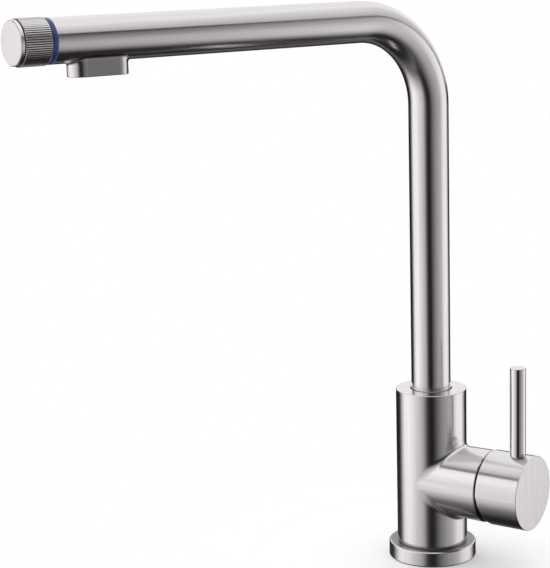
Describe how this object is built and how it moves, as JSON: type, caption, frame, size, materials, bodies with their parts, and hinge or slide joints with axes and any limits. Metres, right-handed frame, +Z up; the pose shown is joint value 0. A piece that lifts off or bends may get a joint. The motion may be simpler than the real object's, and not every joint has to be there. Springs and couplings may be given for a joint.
{
  "type": "filtered water kitchen mixer tap",
  "caption": "Kitchen mixer tap in brushed steel with a bent swivel spout, an upright side lever and a knurled end knob with a blue ring for filtered water.",
  "frame": {"origin": "middle of the foot on the deck plane, at the centre of the two fixing studs", "axes": "+Z up along the column, +X along the handle's axis to the user's right, -Y to the user; the spout rests 20 degrees away from -Y, turned from the handle"},
  "size_m": [0.1806, 0.298, 0.3589],
  "materials": {
    "brushed_steel": "fine brushed stainless steel",
    "polished_steel": "polished stainless steel",
    "filter_blue": "satin royal blue",
    "black_rubber": "matt seal rubber",
    "brass": "turned brass",
    "white_plastic": "moulded white plastic",
    "dark_plastic": "moulded dark plastic",
    "ceramic": "lapped valve ceramic",
    "screw_steel": "dark screw steel"
  },
  "bodies": {
    "tap_body": {"mixer_body": "brushed_steel", "base_flange": "brushed_steel", "base_seal": "black_rubber", "inlet_core": "brass", "core_seals": "black_rubber", "filter_riser": "brushed_steel", "cartridge_housing": "white_plastic", "cartridge_base_seals": "black_rubber", "cartridge_fixed_disc": "ceramic", "cartridge_nut": "brass", "dome_ring": "polished_steel", "upper_glide_ring": "dark_plastic", "thrust_washer": "white_plastic", "spout_stop_screw": "screw_steel"},
    "lever_rotor": {"rotor_sleeve": "dark_plastic", "pivot_pin": "polished_steel"},
    "mixing_disc": {"cartridge_moving_disc": "ceramic", "disc_carrier": "dark_plastic"},
    "lever": {"lever_stem": "brass", "handle_cap": "brushed_steel", "lever_rod": "polished_steel", "handle_grub_screw": "screw_steel"},
    "spout": {"spout_tube": "brushed_steel", "swivel_sleeve": "brass", "swivel_seals": "black_rubber", "filter_coupler": "white_plastic", "filter_coupler_seal": "black_rubber", "filter_tube": "white_plastic", "spout_manifold": "brass", "manifold_seals": "black_rubber", "outlet_housing": "brushed_steel", "aerator_housing": "polished_steel", "aerator_screen": "dark_plastic", "aerator_seal": "black_rubber", "filter_nozzle": "dark_plastic", "filter_valve_body": "brass", "filter_fixed_disc": "ceramic", "blue_ring": "filter_blue"},
    "knob": {"filter_knob": "brushed_steel", "knob_end_cap": "brushed_steel", "filter_spindle": "brass", "filter_turning_disc": "ceramic", "spindle_seal": "black_rubber", "knob_screw": "screw_steel"}
  },
  "joints": [
    {"name": "spout_swivel", "type": "hinge", "parent": "tap_body", "child": "spout", "pos_m": [0, 0, 0.09], "axis": [0, 0, 1], "continuous": true},
    {"name": "lever_temperature", "type": "hinge", "parent": "tap_body", "child": "lever_rotor", "pos_m": [0.03385, 0, 0.0525], "axis": [1, 0, 0], "range_deg": [-45, 45]},
    {"name": "lever_flow", "type": "hinge", "parent": "lever_rotor", "child": "lever", "pos_m": [0.03385, 0, 0.0525], "axis": [0, 1, 0], "range_deg": [0, 12]},
    {"name": "disc_slide", "type": "slide", "parent": "lever_rotor", "child": "mixing_disc", "axis": [0, 0, 1], "range_m": [0, 0.00166]},
    {"name": "knob_turn", "type": "hinge", "parent": "spout", "child": "knob", "pos_m": [-0.09235, -0.25372, 0.346], "axis": [-0.342, -0.9397, 0], "range_deg": [0, 90]}
  ],
  "couplings": [
    {"joint": "disc_slide", "follows": "lever_flow", "m_per_rad": 0.0079}
  ]
}
